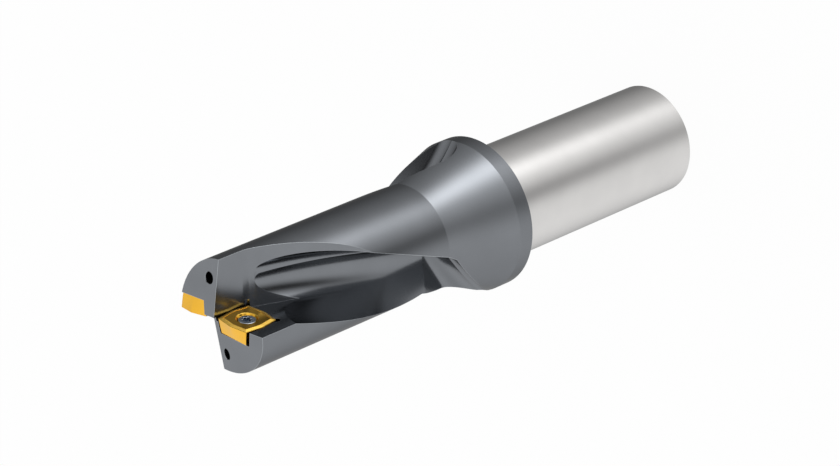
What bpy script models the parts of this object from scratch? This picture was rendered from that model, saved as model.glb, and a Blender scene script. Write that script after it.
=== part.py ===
"""Indexable insert drill: a steel body with two helical flutes, two screwed inserts and a flatted shank.

The drill stands on the end of its shank, which is the origin, with its axis along +Z and its nose up.
+X is the cutting radius of the inner insert and +Y the side that its rake face looks to.
Heights written as a setback are measured down from the nose plane, positive towards the shank.
"""
import math

import bmesh
import bpy
from mathutils import Matrix, Vector

MM = 0.001

# Driving dimensions of the turned body
SHANK_DIAMETER = 25.0 * MM
SHANK_LENGTH = 56.0 * MM
SHANK_CHAMFER = 0.6 * MM
SHANK_FLAT_HEIGHT = 23.0 * MM
SHANK_FLAT_LENGTH = 45.0 * MM
NECK_WIDTH = 2.6 * MM
NECK_DEPTH = 0.4 * MM
BAND_LENGTH = 4.0 * MM
BAND_CHAMFER = 0.3 * MM
COLLAR_DIAMETER = 33.7 * MM
CONE_LENGTH = 16.4 * MM
BODY_DIAMETER = 24.4 * MM
BODY_LENGTH = 51.7 * MM

# Front faces: the height of each over the nose plane at the axis, and how it falls away
INNER_FACE_HEIGHT = 1.57 * MM
INNER_FACE_FALL = math.radians(3.0)
INNER_FACE_RELIEF = math.radians(7.1)
OUTER_FACE_HEIGHT = 2.15 * MM
OUTER_FACE_FALL = math.radians(4.2)
OUTER_FACE_RELIEF = math.radians(9.1)
FACE_SPLIT = math.radians(8.0)

# Helical flute, as drawn in the plane where it starts, with its flat side along +X
FLUTE_START = 9.0 * MM
FLUTE_TURN = math.radians(1.76) / MM
FLUTE_TAPER = 0.045
FLUTE_TAPER_SIDE = math.radians(37.0)
FLUTE_BOTTOM_RADIUS = 5.2 * MM
FLUTE_BOTTOM_OUT = 4.5 * MM
FLUTE_BACK_RADIUS = 3.45 * MM
FLUTE_BACK_CENTRE = Vector((2.7 * MM, 7.4 * MM))
FLUTE_BACK_ANGLE = math.radians(38.0)
LEAD_IN_SETBACK = 9.3 * MM
LEAD_IN_LENGTH = 5.2 * MM
LEAD_IN_SLOPE = 1.1
RUN_OUT_SETBACK = 52.2 * MM
RUN_OUT_SLOPE = 1.21
RUN_OUT_SIDE = math.radians(-41.3)
RUN_OUT_TURN = math.radians(1.2) / MM

# Straight gullets at the nose: how far their walls and floors lie from the axis, and how they tilt
INNER_GULLET_WALL = -1.13 * MM
INNER_WALL_TILT = math.radians(4.0)
INNER_GULLET_FLOOR = -0.82 * MM
INNER_FLOOR_TILT = math.radians(5.3)
OUTER_GULLET_WALL = 1.69 * MM
OUTER_WALL_TILT = math.radians(6.5)
OUTER_GULLET_FLOOR = -0.09 * MM
OUTER_FLOOR_TILT = math.radians(9.7)
GULLET_STRAIGHT = 7.0 * MM
GULLET_RUN_OUT = math.radians(24.7)
GULLET_BLEND = 8.0 * MM
GULLET_FILLET = 0.8 * MM

# Inserts: four cutting edges, each kinked at its middle
INSERT_SIDE = 8.08 * MM
INSERT_KINK = 0.59 * MM
INSERT_THICKNESS = 3.2 * MM
INSERT_RELIEF = math.radians(9.0)
INSERT_CORNER = 0.25 * MM
RIM_WIDTH = 0.83 * MM
RIM_RISE = 0.17 * MM
INNER_RADIAL = 3.81 * MM
INNER_ABOVE_CENTRE = 0.0 * MM
INNER_SETBACK = 2.4 * MM
INNER_LEAD = 0.0
OUTER_TILT = math.radians(8.3)
OUTER_RADIAL = 8.22 * MM
OUTER_ABOVE_CENTRE = 0.64 * MM
OUTER_SETBACK = 2.86 * MM
OUTER_LEAD = math.radians(3.4)

# Insert screws and their holes
SCREW_DIAMETER = 2.5 * MM
SCREW_LENGTH = 6.0 * MM
SCREW_TIP_CHAMFER = 0.4 * MM
HEAD_DIAMETER = 3.75 * MM
HEAD_EDGE = 0.3 * MM
HEAD_CONE = 1.05 * MM
HEAD_SUNK = 0.3 * MM
SOCKET_MEAN_RADIUS = 0.88 * MM
SOCKET_LOBE = 0.14 * MM
SOCKET_DEPTH = 1.1 * MM
COUNTERBORE_DIAMETER = 4.8 * MM
HOLE_RUN_ON = 0.5 * MM

# Clearances
SEAT_GAP = 0.3 * MM
POCKET_GAP = 0.38 * MM
POCKET_RISE = 0.1 * MM
POCKET_RELIEF_RADIUS = 0.75 * MM

# Coolant bores
BORE_DIAMETER = 8.0 * MM
BORE_CHAMFER = 0.6 * MM
BORE_END_SETBACK = 64.0 * MM
OUTER_CHANNEL_SIZE = Vector((2.5 * MM, 2.5 * MM))
INNER_CHANNEL_SIZE = Vector((2.6 * MM, 1.6 * MM))
CHANNEL_RADIUS_OUT = 8.4 * MM
CHANNEL_LAND_ANGLE = math.radians(137.0)
CHANNEL_STRAIGHT = 18.8 * MM
CHANNEL_MEETS_SETBACK = 68.0 * MM
CHANNEL_MEETS_RADIUS = 2.4 * MM
OUTER_OUTLET = Vector((-4.18 * MM, 7.31 * MM))
INNER_OUTLET = Vector((0.99 * MM, -8.15 * MM))

# Facets
ROUND_STEPS = 96
BORE_STEPS = 32
CHANNEL_STEPS = 16
SCREW_STEPS = 36
FLUTE_STEP = 1.6 * MM
RUN_OUT_STEP = 0.9 * MM

# Worked out from the driving dimensions
NECK_TOP = SHANK_LENGTH
BAND_TOP = SHANK_LENGTH + BAND_LENGTH
CONE_TOP = BAND_TOP + CONE_LENGTH
NOSE = CONE_TOP + BODY_LENGTH
BLANK_TOP = NOSE + 3.0 * MM
BODY_RADIUS = BODY_DIAMETER / 2
COLLAR_RADIUS = COLLAR_DIAMETER / 2
SHANK_RADIUS = SHANK_DIAMETER / 2
SCREW_RADIUS = SCREW_DIAMETER / 2
HEAD_RADIUS = HEAD_DIAMETER / 2
HOLE_RADIUS = SCREW_RADIUS + SEAT_GAP
REACH = COLLAR_RADIUS + 3.0 * MM
HALF_TURN = math.pi


def clear_scene():
    for item in list(bpy.data.objects):
        bpy.data.objects.remove(item, do_unlink=True)


def new_collection(name):
    group = bpy.data.collections.new(name)
    bpy.context.scene.collection.children.link(group)
    return group


def steel(name, colour, roughness, metallic):
    material = bpy.data.materials.new(name)
    material.use_nodes = True
    shader = material.node_tree.nodes["Principled BSDF"]
    shader.inputs["Base Color"].default_value = (*colour, 1.0)
    shader.inputs["Roughness"].default_value = roughness
    shader.inputs["Metallic"].default_value = metallic
    return material


def add_object(name, mesh, group, material=None):
    item = bpy.data.objects.new(name, mesh)
    group.objects.link(item)
    if material:
        mesh.materials.append(material)
    return item


def finish_bmesh(name, bm):
    """Point the faces of a closed bmesh outwards and turn it into a mesh."""
    bmesh.ops.recalc_face_normals(bm, faces=bm.faces[:])
    mesh = bpy.data.meshes.new(name)
    bm.to_mesh(mesh)
    bm.free()
    return mesh


def turned(name, profile, group, steps, material=None):
    """A solid of revolution about Z. The profile (radius, height) starts and ends on the axis."""
    mesh = bpy.data.meshes.new(name)
    edges = [(i, i + 1) for i in range(len(profile) - 1)]
    mesh.from_pydata([(radius, 0.0, height) for radius, height in profile], edges, [])
    item = add_object(name, mesh, group, material)
    screw = item.modifiers.new("Turn", 'SCREW')
    screw.axis = 'Z'
    screw.angle = 2 * math.pi
    screw.steps = steps
    screw.render_steps = steps
    screw.use_merge_vertices = True
    screw.merge_threshold = 0.00001
    screw.use_smooth_shade = False
    return item


def prism(name, outline, depth, group):
    """The outline (x, y) extruded along +Z from zero by the depth."""
    bm = bmesh.new()
    face = bm.faces.new([bm.verts.new((x, y, 0.0)) for x, y in outline])
    made = bmesh.ops.extrude_face_region(bm, geom=[face])["geom"]
    top = [item for item in made if isinstance(item, bmesh.types.BMVert)]
    bmesh.ops.translate(bm, verts=top, vec=(0.0, 0.0, depth))
    return add_object(name, finish_bmesh(name, bm), group)


def cut(target, cutter, operation='DIFFERENCE'):
    cutter.hide_render = True
    cutter.display_type = 'WIRE'
    boolean = target.modifiers.new(cutter.name, 'BOOLEAN')
    boolean.operation = operation
    boolean.solver = 'EXACT'
    boolean.object = cutter


def arc(centre, radius, start, end, count):
    """Points on an arc, both ends included."""
    angles = [start + (end - start) * i / count for i in range(count + 1)]
    return [Vector((centre[0] + radius * math.cos(a), centre[1] + radius * math.sin(a))) for a in angles]


def offset_outline(points, distance):
    """Move each side of a counter-clockwise outline outwards by the distance."""
    moved = []
    for i, point in enumerate(points):
        before = (point - points[i - 1]).normalized()
        after = (points[(i + 1) % len(points)] - point).normalized()
        normal_a = Vector((before.y, -before.x))
        normal_b = Vector((after.y, -after.x))
        bisector = (normal_a + normal_b) / (1.0 + normal_a.dot(normal_b))
        moved.append(point + bisector * distance)
    return moved


# Body blank and its bores

def body_blank(group, material):
    neck_radius = SHANK_RADIUS - NECK_DEPTH
    profile = [
        (0.0, BLANK_TOP),
        (BODY_RADIUS, BLANK_TOP),
        (BODY_RADIUS, CONE_TOP),
        (COLLAR_RADIUS, BAND_TOP),
        (COLLAR_RADIUS, NECK_TOP + BAND_CHAMFER),
        (COLLAR_RADIUS - BAND_CHAMFER, NECK_TOP),
        (neck_radius, NECK_TOP),
        (neck_radius, NECK_TOP - NECK_WIDTH),
        (SHANK_RADIUS, NECK_TOP - NECK_WIDTH - NECK_DEPTH),
        (SHANK_RADIUS, SHANK_CHAMFER),
        (SHANK_RADIUS - SHANK_CHAMFER, 0.0),
        (0.0, 0.0),
    ]
    return turned("drill_body", profile, group, ROUND_STEPS, material)


def central_bore(group):
    radius = BORE_DIAMETER / 2
    top = NOSE - BORE_END_SETBACK
    profile = [
        (0.0, top),
        (radius, top - radius * math.tan(math.radians(31.0))),
        (radius, BORE_CHAMFER),
        (radius + BORE_CHAMFER, 0.0),
        (radius + BORE_CHAMFER, -1.0 * MM),
        (0.0, -1.0 * MM),
    ]
    return turned("central_bore", profile, group, BORE_STEPS)


def shank_flat(group):
    """The clamping flat looks to -X and is open at the end of the shank."""
    depth = SHANK_DIAMETER - SHANK_FLAT_HEIGHT
    outline = [(0.0, -SHANK_RADIUS), (SHANK_RADIUS, -SHANK_RADIUS), (SHANK_RADIUS, SHANK_RADIUS), (0.0, SHANK_RADIUS)]
    item = prism("shank_flat", outline, SHANK_FLAT_LENGTH + 1.0 * MM, group)
    item.matrix_world = Matrix.Translation((-2 * SHANK_RADIUS + depth, 0.0, -1.0 * MM))
    return item


def front_face(name, height, fall, relief, side, group):
    """A block over one front face, which falls outwards from the axis and back from the cutting edge."""
    split = REACH * math.tan(FACE_SPLIT)
    outline = [(-REACH, -split), (REACH, split), (REACH, REACH), (-REACH, REACH)]
    item = prism(name, outline, REACH, group)
    slope = Matrix.Identity(4)
    slope[2][0] = math.tan(fall)
    slope[2][1] = -math.tan(relief)
    item.data.transform(slope)
    item.matrix_world = Matrix.Rotation(side, 4, 'Z') @ Matrix.Translation((0.0, 0.0, NOSE + height))
    return item


# Swept voids: coolant channels and helical flutes

def swept(name, outline, placements, group):
    """The outline (x, y) carried through the placements, one extruded slice after another."""
    bm = bmesh.new()
    face = bm.faces.new([bm.verts.new(placements[0] @ Vector((point.x, point.y, 0.0))) for point in outline])
    for near, far in zip(placements, placements[1:]):
        made = bmesh.ops.extrude_face_region(bm, geom=[face])["geom"]
        if near is not placements[0]:
            bmesh.ops.delete(bm, geom=[face], context='FACES_ONLY')
        face = next(item for item in made if isinstance(item, bmesh.types.BMFace))
        bmesh.ops.transform(bm, matrix=far @ near.inverted(), verts=face.verts)
    bmesh.ops.triangulate(bm, faces=bm.faces[:])
    return add_object(name, finish_bmesh(name, bm), group)


def spaced(start, end, step):
    count = max(1, round((end - start) / step))
    return [start + (end - start) * i / count for i in range(count + 1)]


def helix_angle(setback, turn):
    """How far the flutes have turned at a setback. The turning stops where they start to run out."""
    return turn - FLUTE_TURN * (min(setback, RUN_OUT_SETBACK) - FLUTE_START)


def channel_placement(outlet, turn, setback):
    """Middle of a channel: straight from its outlet, then along the land, then in to the bore."""
    angle = helix_angle(max(setback, CHANNEL_STRAIGHT), turn + CHANNEL_LAND_ANGLE)
    inward = max(0.0, setback - RUN_OUT_SETBACK) / (CHANNEL_MEETS_SETBACK - RUN_OUT_SETBACK)
    radius = CHANNEL_RADIUS_OUT + (CHANNEL_MEETS_RADIUS - CHANNEL_RADIUS_OUT) * inward
    along = min(1.0, setback / CHANNEL_STRAIGHT)
    middle = outlet.lerp(Vector((radius * math.cos(angle), radius * math.sin(angle))), along)
    lift = Matrix.Translation((middle.x, middle.y, NOSE - setback))
    return lift @ Matrix.Rotation(math.atan2(middle.y, middle.x), 4, 'Z')


def coolant_channel(name, size, outlet, turn, group):
    angles = [2 * math.pi * i / CHANNEL_STEPS for i in range(CHANNEL_STEPS)]
    outline = [Vector((size.x / 2 * math.cos(angle), size.y / 2 * math.sin(angle))) for angle in angles]
    setbacks = [-4.0 * MM] + spaced(CHANNEL_STRAIGHT, RUN_OUT_SETBACK, 2 * FLUTE_STEP) + [CHANNEL_MEETS_SETBACK]
    placements = [channel_placement(outlet, turn, setback) for setback in setbacks]
    return swept(name, outline, placements, group)


def circles_meet(centre_a, radius_a, centre_b, radius_b):
    """The crossing of two circles on the left of the line from the first centre to the second."""
    apart = (centre_b - centre_a).length
    along = (centre_b - centre_a) / apart
    foot = (apart * apart + radius_a * radius_a - radius_b * radius_b) / (2 * apart)
    rise = math.sqrt(radius_a * radius_a - foot * foot)
    return centre_a + along * foot + Vector((-along.y, along.x)) * rise


def flute_section():
    """Outline of the milled void: a flat side, a round bottom, a ridge, a round back and a straight back."""
    bottom_centre = Vector((FLUTE_BOTTOM_OUT, FLUTE_BOTTOM_RADIUS))
    ridge = circles_meet(bottom_centre, FLUTE_BOTTOM_RADIUS, FLUTE_BACK_CENTRE, FLUTE_BACK_RADIUS)
    bottom_end = math.atan2(ridge.y - bottom_centre.y, ridge.x - bottom_centre.x)
    back_start = math.atan2(ridge.y - FLUTE_BACK_CENTRE.y, ridge.x - FLUTE_BACK_CENTRE.x) + 2 * math.pi
    points = [Vector((REACH * part, 0.0)) for part in (1.0, 0.65, 0.45)]
    points += arc(bottom_centre, FLUTE_BOTTOM_RADIUS, math.radians(270.0), bottom_end % (2 * math.pi), 10)
    points += arc(FLUTE_BACK_CENTRE, FLUTE_BACK_RADIUS, back_start, FLUTE_BACK_ANGLE + math.pi / 2, 6)[1:]
    back = Vector((math.cos(FLUTE_BACK_ANGLE), math.sin(FLUTE_BACK_ANGLE)))
    points += [points[-1] + back * REACH * part for part in (0.22, 0.45, 0.75)]
    points += [Vector((REACH, points[-1].y))]
    return points


def flute_placement(setback, turn):
    """Where the flute's section lies at a setback: turned by the helix, moved out at both ends."""
    run_out = max(0.0, setback - RUN_OUT_SETBACK)
    lead_in = max(0.0, LEAD_IN_SETBACK - setback)
    angle = helix_angle(setback, turn) + RUN_OUT_TURN * run_out
    shift = Vector((LEAD_IN_SLOPE * lead_in, 0.0, 0.0))
    taper = FLUTE_TAPER * max(0.0, setback - FLUTE_START)
    shift += taper * Vector((math.cos(FLUTE_TAPER_SIDE), math.sin(FLUTE_TAPER_SIDE), 0.0))
    shift += RUN_OUT_SLOPE * run_out * Vector((math.cos(RUN_OUT_SIDE), math.sin(RUN_OUT_SIDE), 0.0))
    lift = Matrix.Translation((0.0, 0.0, NOSE - setback))
    return lift @ Matrix.Rotation(angle, 4, 'Z') @ Matrix.Translation(shift)


def helical_flute(name, turn, group):
    setbacks = spaced(LEAD_IN_SETBACK - LEAD_IN_LENGTH, LEAD_IN_SETBACK, FLUTE_STEP)
    setbacks += spaced(LEAD_IN_SETBACK, RUN_OUT_SETBACK, FLUTE_STEP)[1:]
    setbacks += spaced(RUN_OUT_SETBACK, NOSE - NECK_TOP, RUN_OUT_STEP)[1:]
    return swept(name, flute_section(), [flute_placement(setback, turn) for setback in setbacks], group)


# Gullets at the nose

def gullet(name, wall, wall_tilt, floor, floor_tilt, turn, group):
    """The straight cut at the nose: its wall runs back along the axis, then leaves through the side."""
    top = 6.0 * MM
    before = GULLET_BLEND * math.tan(GULLET_RUN_OUT / 2)
    centre = (wall + GULLET_BLEND, GULLET_STRAIGHT - before)
    blend = arc(centre, GULLET_BLEND, math.pi, math.pi - GULLET_RUN_OUT, 5)
    leave = (REACH - blend[-1].x) / math.tan(GULLET_RUN_OUT)
    outline = [Vector((REACH, -top)), Vector((wall, -top))] + blend + [Vector((REACH, blend[-1].y + leave))]
    item = prism(name, outline, REACH, group)
    bm = bmesh.new()
    bm.from_mesh(item.data)
    floor_edges = [edge for edge in bm.edges if all(abs(vert.co.z) < 0.1 * MM for vert in edge.verts)]
    at_side = [edge for edge in floor_edges if all(vert.co.x > REACH - MM for vert in edge.verts)]
    at_nose = [edge for edge in floor_edges if all(vert.co.y < MM - top for vert in edge.verts)]
    corner = [edge for edge in floor_edges if edge not in at_side and edge not in at_nose]
    bmesh.ops.bevel(bm, geom=corner, offset=GULLET_FILLET, segments=3, profile=0.5, affect='EDGES')
    bm.to_mesh(item.data)
    bm.free()
    slope = Matrix.Identity(4)
    slope[2][0] = math.tan(floor_tilt - wall_tilt)
    item.data.transform(slope)
    item.matrix_world = (Matrix.Rotation(turn + wall_tilt, 4, 'Z') @ Matrix.Translation((0.0, floor, NOSE))
                         @ Matrix.Rotation(-math.pi / 2, 4, 'X'))
    return item


# Inserts, pockets and screws

def seat_frame(turn, radial, above, setback, lead):
    """Frame of an insert: x outwards, y towards the shank, z along its rake normal, zero at its edges."""
    place = Matrix.Translation((radial, above, NOSE - setback))
    return Matrix.Rotation(turn, 4, 'Z') @ place @ Matrix.Rotation(-math.pi / 2, 4, 'X') @ Matrix.Rotation(lead, 4, 'Z')


def inner_frame():
    return seat_frame(0.0, INNER_RADIAL, INNER_ABOVE_CENTRE, INNER_SETBACK, INNER_LEAD)


def outer_frame():
    return seat_frame(HALF_TURN + OUTER_TILT, OUTER_RADIAL, OUTER_ABOVE_CENTRE, OUTER_SETBACK, OUTER_LEAD)


def insert_outline():
    """Corners and kinks of the cutting edges, counter-clockwise from the outer back corner."""
    half = INSERT_SIDE / 2
    kink = half + INSERT_KINK
    side = [Vector((half, half)), Vector((0.0, kink))]
    return [Matrix.Rotation(quarter * math.pi / 2, 2) @ point for quarter in range(4) for point in side]


def rounded_outline(points, radius, steps):
    """Round every sharp corner of the outline, which is every second point, and keep the kinks."""
    made = []
    for i, point in enumerate(points):
        if i % 2:
            made.append(point)
            continue
        before = (points[i - 1] - point).normalized()
        after = (points[(i + 1) % len(points)] - point).normalized()
        half = math.acos(before.dot(after)) / 2
        centre = point + (before + after).normalized() * radius / math.sin(half)
        touch = point + before * radius / math.tan(half) - centre
        start = math.atan2(touch.y, touch.x)
        made += arc(centre, radius, start, start + math.pi - 2 * half, steps)
    return made


def lofted(name, levels, group, material=None):
    """A closed solid through outlines with equal counts, each at its own height, lowest first."""
    bm = bmesh.new()
    rings = [[bm.verts.new((p.x, p.y, height)) for p in outline] for outline, height in levels]
    bm.faces.new(rings[0])
    bm.faces.new(rings[-1])
    for low, high in zip(rings, rings[1:]):
        for i in range(len(low)):
            bm.faces.new((low[i - 1], low[i], high[i], high[i - 1]))
    return add_object(name, finish_bmesh(name, bm), group, material)


def insert_hole(name, frame, group):
    """The hole through an insert: counterbore, seat for the head and clearance for the shank."""
    edge = -HEAD_SUNK - HEAD_EDGE
    profile = [
        (0.0, 2 * MM),
        (COUNTERBORE_DIAMETER / 2, 2 * MM),
        (COUNTERBORE_DIAMETER / 2, edge),
        (HEAD_RADIUS + SEAT_GAP, edge),
        (HOLE_RADIUS, edge - HEAD_CONE),
        (HOLE_RADIUS, -INSERT_THICKNESS - MM),
        (0.0, -INSERT_THICKNESS - MM),
    ]
    item = turned(name, profile, group, SCREW_STEPS)
    item.matrix_world = frame
    return item


def insert(name, frame, group, cutters, material):
    drop = INSERT_THICKNESS * math.tan(INSERT_RELIEF)
    steps = [(-drop, -INSERT_THICKNESS), (0.0, 0.0), (-RIM_WIDTH, RIM_RISE)]
    edges = [(offset_outline(insert_outline(), grow), height) for grow, height in steps]
    levels = [(rounded_outline(edge, INSERT_CORNER, 4), height) for edge, height in edges]
    item = lofted(name, levels, group, material)
    item.matrix_world = frame
    cut(item, insert_hole(name + "_hole", frame, cutters))
    return item


def pocket(name, frame, open_sides, group):
    """The void that an insert sits in: its outline with a gap, left open past the nose or the side."""
    floor = -INSERT_THICKNESS - SEAT_GAP
    levels = []
    for height in (floor, POCKET_RISE):
        outline = offset_outline(insert_outline(), POCKET_GAP + height * math.tan(INSERT_RELIEF))
        levels.append(([open_side(point, open_sides) for point in outline], height))
    item = lofted(name, levels, group)
    item.matrix_world = frame
    return item


def open_side(point, open_sides):
    """Carry a point of the pocket's outline out through each open side."""
    x, y = point
    limit = INSERT_SIDE * 0.4
    if "nose" in open_sides and y < -limit:
        y -= 4.0 * MM
    if "side" in open_sides and x > limit:
        x += 4.0 * MM
    return Vector((x, y))


def pocket_relief(name, frame, corner, group):
    """A round relief under a corner of the insert, where two walls of its pocket meet."""
    floor = -INSERT_THICKNESS - SEAT_GAP
    outline = insert_outline()
    profile = [(0.0, MM), (POCKET_RELIEF_RADIUS, MM), (POCKET_RELIEF_RADIUS, floor), (0.0, floor)]
    item = turned(name, profile, group, 16)
    item.matrix_world = frame @ Matrix.Translation((outline[corner].x, outline[corner].y, 0.0))
    return item


def screw_hole(name, frame, group):
    """The tapped hole under a pocket, with its thread left plain."""
    bottom = -HEAD_SUNK - SCREW_LENGTH - HOLE_RUN_ON
    profile = [(0.0, 0.0), (HOLE_RADIUS, 0.0), (HOLE_RADIUS, bottom), (0.0, bottom - HOLE_RADIUS * 0.5)]
    item = turned(name, profile, group, SCREW_STEPS)
    item.matrix_world = frame
    return item


def socket_outline(count=48):
    """Six lobes around the axis of the screw."""
    angles = [2 * math.pi * i / count for i in range(count)]
    radii = [SOCKET_MEAN_RADIUS + SOCKET_LOBE * math.cos(6 * a) for a in angles]
    return [Vector((r * math.cos(a), r * math.sin(a))) for r, a in zip(radii, angles)]


def insert_screw(name, frame, group, cutters, material):
    top = -HEAD_SUNK
    edge = top - HEAD_EDGE
    tip = top - SCREW_LENGTH
    profile = [
        (0.0, top),
        (HEAD_RADIUS - HEAD_EDGE / 2, top),
        (HEAD_RADIUS, top - HEAD_EDGE / 2),
        (HEAD_RADIUS, edge),
        (SCREW_RADIUS, edge - HEAD_CONE),
        (SCREW_RADIUS, tip + SCREW_TIP_CHAMFER),
        (SCREW_RADIUS - SCREW_TIP_CHAMFER, tip),
        (0.0, tip),
    ]
    item = turned(name, profile, group, SCREW_STEPS, material)
    item.matrix_world = frame
    socket = prism(name + "_socket", socket_outline(), SOCKET_DEPTH + MM, cutters)
    socket.matrix_world = frame @ Matrix.Translation((0.0, 0.0, top - SOCKET_DEPTH))
    cut(item, socket)
    return item


def drill_body(group, cutters, material):
    body = body_blank(group, material)
    cut(body, central_bore(cutters))
    cut(body, shank_flat(cutters))
    cut(body, front_face("inner_front_face", INNER_FACE_HEIGHT, INNER_FACE_FALL, INNER_FACE_RELIEF,
                         HALF_TURN, cutters))
    cut(body, front_face("outer_front_face", OUTER_FACE_HEIGHT, OUTER_FACE_FALL, OUTER_FACE_RELIEF,
                         0.0, cutters))
    cut(body, gullet("inner_gullet", INNER_GULLET_WALL, INNER_WALL_TILT, INNER_GULLET_FLOOR, INNER_FLOOR_TILT,
                     0.0, cutters))
    cut(body, gullet("outer_gullet", OUTER_GULLET_WALL, OUTER_WALL_TILT, OUTER_GULLET_FLOOR, OUTER_FLOOR_TILT,
                     HALF_TURN, cutters))
    cut(body, helical_flute("inner_flute", 0.0, cutters))
    cut(body, helical_flute("outer_flute", HALF_TURN, cutters))
    for side, frame, open_sides in (("inner", inner_frame(), ("nose",)), ("outer", outer_frame(), ("nose", "side"))):
        cut(body, pocket(side + "_pocket", frame, open_sides, cutters))
        cut(body, pocket_relief(side + "_relief_a", frame, 2, cutters))
        if side == "inner":
            cut(body, pocket_relief(side + "_relief_b", frame, 0, cutters))
        cut(body, screw_hole(side + "_screw_hole", frame, cutters))
    cut(body, coolant_channel("outer_channel", OUTER_CHANNEL_SIZE, OUTER_OUTLET, 0.0, cutters))
    cut(body, coolant_channel("inner_channel", INNER_CHANNEL_SIZE, INNER_OUTLET, HALF_TURN, cutters))
    return body


def shade(group):
    for item in group.objects:
        item.data.shade_smooth()
        item.data.set_sharp_from_angle(angle=math.radians(30.0))


def build():
    clear_scene()
    parts = new_collection("indexable_drill")
    cutters = new_collection("cutters")
    body_steel = steel("tool_steel", (0.20, 0.21, 0.22), 0.32, 1.0)
    coating = steel("gold_coated_carbide", (0.82, 0.50, 0.08), 0.30, 1.0)
    screw_steel = steel("screw_steel", (0.42, 0.47, 0.54), 0.28, 1.0)
    drill_body(parts, cutters, body_steel)
    insert("inner_insert", inner_frame(), parts, cutters, coating)
    insert("outer_insert", outer_frame(), parts, cutters, coating)
    insert_screw("inner_insert_screw", inner_frame(), parts, cutters, screw_steel)
    insert_screw("outer_insert_screw", outer_frame(), parts, cutters, screw_steel)
    shade(parts)


build()
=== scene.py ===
"""Dresses the packed indexable drill: fine meshes of all pieces, their finishes and a pale studio.

Run as a script. The drill stands on the end of its shank, with its axis along +Z and its nose up.
+X is the cutting radius of the inner insert, and +Y the side that its rake face looks to. Heights
written as a setback are measured down from the nose plane.
"""

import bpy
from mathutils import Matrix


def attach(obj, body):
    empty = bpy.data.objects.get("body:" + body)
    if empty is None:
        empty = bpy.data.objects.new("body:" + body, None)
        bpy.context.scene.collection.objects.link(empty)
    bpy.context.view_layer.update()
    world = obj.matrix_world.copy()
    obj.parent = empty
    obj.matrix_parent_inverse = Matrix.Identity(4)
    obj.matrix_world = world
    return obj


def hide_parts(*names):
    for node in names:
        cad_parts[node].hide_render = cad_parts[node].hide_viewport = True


bl_info = {
    "name": "Indexable Drill",
    "version": (1, 0, 0),
    "blender": (4, 5, 0),
    "location": "3D View > Sidebar > Drill",
    "description": "Fluted drill body, inserts and screws with their finishes, in a pale studio",
    "category": "Add Mesh",
}

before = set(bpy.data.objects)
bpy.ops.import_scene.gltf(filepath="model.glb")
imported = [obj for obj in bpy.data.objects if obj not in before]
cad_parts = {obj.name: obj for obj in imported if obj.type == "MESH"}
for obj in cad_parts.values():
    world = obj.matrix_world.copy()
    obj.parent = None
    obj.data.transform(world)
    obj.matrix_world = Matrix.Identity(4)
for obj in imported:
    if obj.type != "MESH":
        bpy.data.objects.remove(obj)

import math

import bpy
import numpy as np

MM = 0.001
HALF_TURN = math.pi
QUARTER_TURN = math.pi / 2

# How far a cutter stands out of what it cuts, and how far an open cut is carried past the body
SPARE = 1.0 * MM
REACH = 20.0 * MM

# A turned point can't end at zero radius, so it ends at this one
POINT = 0.02 * MM

# Points around a hole in sight, a hidden one and a small one
ROUND = 96
ROUND_HIDDEN = 64
ROUND_SMALL = 48

# A piece with fewer faces than this has lost its body to a cut
LEAST_FACES = 10

# Slack where the places of faces are compared
SLACK = 0.02 * MM


# Kinds of property

def value_of(name, description, value, **kind):
    return bpy.props.FloatProperty(name=name, description=description, default=value, **kind)


def values_of(name, description, values, **kind):
    return bpy.props.FloatVectorProperty(name=name, description=description, default=values,
                                         size=len(values), **kind)


def length(name, description, millimetres):
    return value_of(name, description, millimetres * MM, unit='LENGTH', precision=5)


def angle(name, description, degrees):
    return value_of(name, description, math.radians(degrees), subtype='ANGLE')


def number(name, description, value):
    return value_of(name, description, value, subtype='FACTOR')


def flat_place(name, description, millimetres):
    metres = [value * MM for value in millimetres]
    return values_of(name, description, metres, unit='LENGTH', precision=5)


def colour(name, description, value):
    return values_of(name, description, value, subtype='COLOR', min=0.0, max=1.0)


def direction(name, description, value):
    return values_of(name, description, value, subtype='DIRECTION')


class BlankSizes(bpy.types.PropertyGroup):
    """The turned body before anything is milled into it."""
    shank_diameter: length("Shank diameter", "Across the ground shank", 25.0)
    shank_length: length("Shank length", "From the shank's end to the back of the collar", 56.0)
    shank_chamfer: length("Shank chamfer", "At the shank's end", 0.6)
    flat_height: length("Height over the flat", "From the flat to the shank's far side", 23.0)
    flat_length: length("Flat length", "From the shank's end", 45.0)
    neck_width: length("Neck width", "Relief groove behind the collar", 2.6)
    neck_depth: length("Neck depth", "Relief groove behind the collar", 0.4)
    band_length: length("Band length", "Cylindrical rim of the collar", 4.0)
    band_chamfer: length("Band chamfer", "At the back of the collar", 0.3)
    collar_diameter: length("Collar diameter", "Across the rim of the collar", 33.7)
    cone_length: length("Cone length", "From the collar's rim to the fluted body", 16.4)
    body_diameter: length("Body diameter", "Across the fluted body", 24.4)
    body_length: length("Body length", "From the cone to the nose plane", 51.7)
    round_steps: bpy.props.IntProperty(name="Steps around", description="Facets around the body",
                                       default=288, min=3)

    @property
    def band_top(self):
        return self.shank_length + self.band_length

    @property
    def cone_top(self):
        return self.band_top + self.cone_length

    @property
    def nose(self):
        return self.cone_top + self.body_length


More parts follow.
